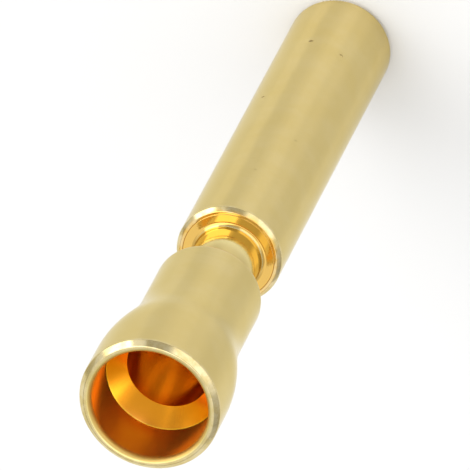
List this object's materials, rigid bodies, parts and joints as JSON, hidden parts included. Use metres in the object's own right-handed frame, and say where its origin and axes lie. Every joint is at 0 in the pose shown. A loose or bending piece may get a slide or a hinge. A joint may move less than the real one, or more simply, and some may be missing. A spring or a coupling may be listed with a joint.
{
  "type": "crimp socket contact",
  "caption": "Gold-plated turned crimp contact: insulation cup and wire barrel at one end, retention neck, and spring tines inside a closed-entry socket hood at the other.",
  "frame": {"origin": "centre of the hood's front lip, on the contact's axis, where the contact stands on its socket end", "axes": "+Z along the contact's axis, from the socket entry towards the crimp mouth; X and Y are free, as the outside is round"},
  "size_m": [0.0034, 0.0034, 0.0194],
  "materials": {
    "plated_body": "satin gold plating over turned brass",
    "plated_hood": "satin gold plating over a drawn sleeve"
  },
  "bodies": {
    "root": {"contact_body": "plated_body", "socket_hood": "plated_hood"}
  },
  "joints": []
}
